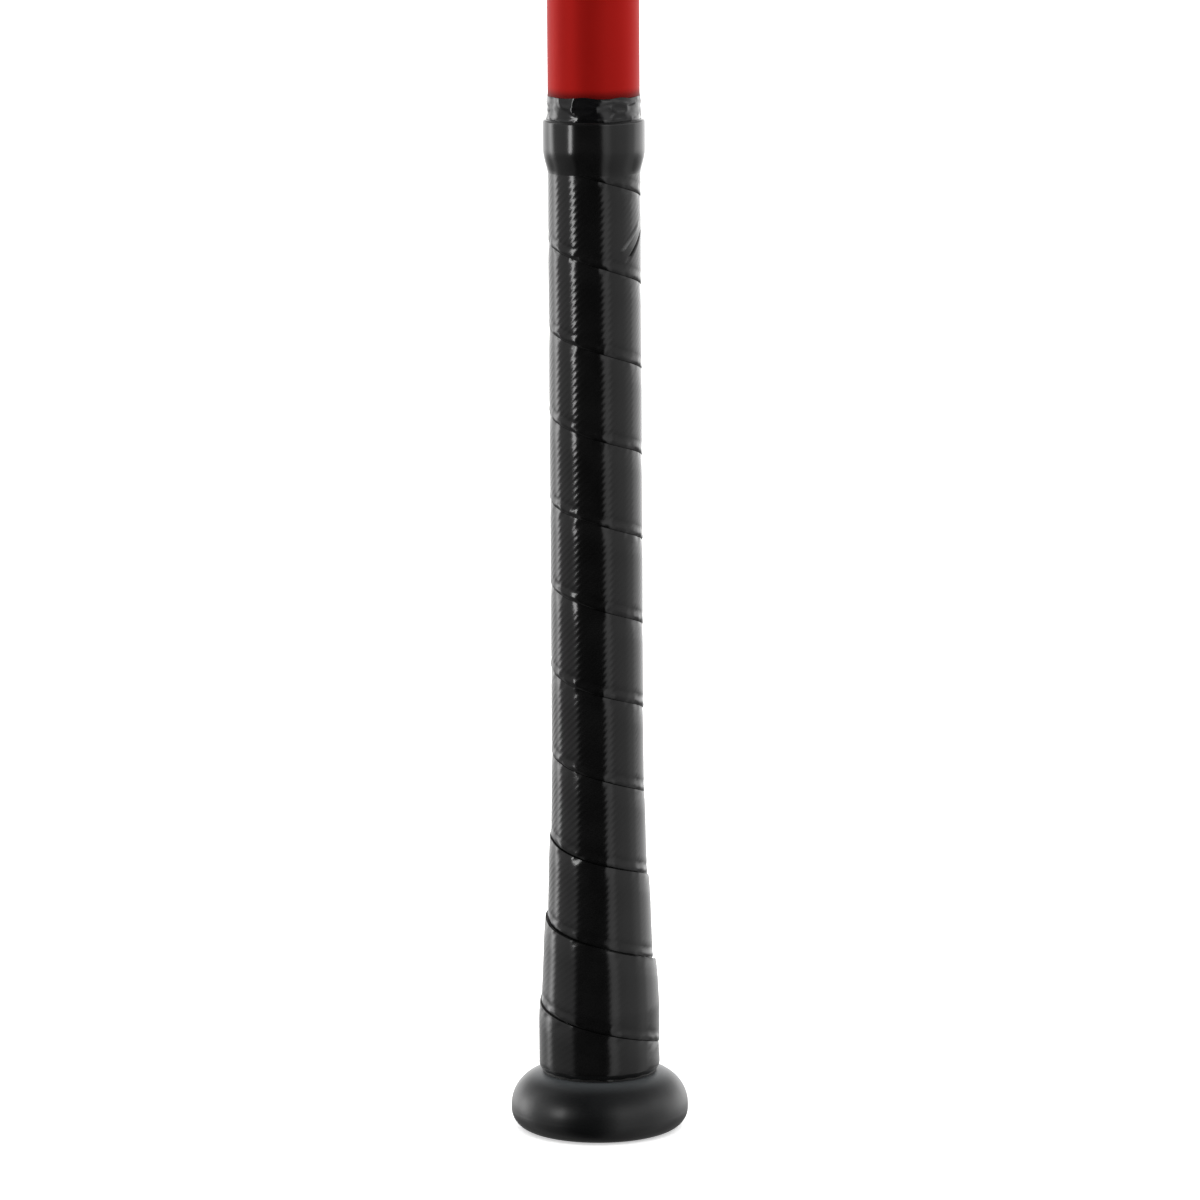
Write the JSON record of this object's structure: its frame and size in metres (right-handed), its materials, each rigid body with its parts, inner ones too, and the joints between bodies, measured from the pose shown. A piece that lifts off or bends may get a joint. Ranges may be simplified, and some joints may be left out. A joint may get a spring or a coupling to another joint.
{
  "type": "baseball bat",
  "caption": "Full-length two-piece baseball bat: alloy barrel with end cap, composite handle, wrapped grip with rubber collar, and rounded knob.",
  "frame": {"origin": "centre of the knob's underside, where the bat stands", "axes": "+Z along the bat's axis from the knob to the end cap; the bat is round about Z"},
  "size_m": [0.0666, 0.0666, 0.864],
  "materials": {
    "barrel_paint": "gloss",
    "handle_paint": "gloss",
    "cap_urethane": "satin",
    "knob_plastic": "satin",
    "plug_plastic": "matte",
    "grip_polymer": "gloss",
    "collar_rubber": "satin",
    "vinyl_tape": "gloss",
    "joint_rubber": "satin",
    "inner_rubber": "matte",
    "damper_foam": "matte"
  },
  "bodies": {
    "root": {"barrel_shell": "barrel_paint", "end_cap": "cap_urethane", "joint_ring": "joint_rubber", "joint_sleeve": "joint_rubber", "tube_bung": "inner_rubber", "handle_tube": "handle_paint", "handle_damper": "damper_foam", "flare_sleeve": "inner_rubber", "knob": "knob_plastic", "knob_plug": "plug_plastic", "grip_tape": "grip_polymer", "grip_collar": "collar_rubber", "finishing_tape": "vinyl_tape"}
  },
  "joints": []
}
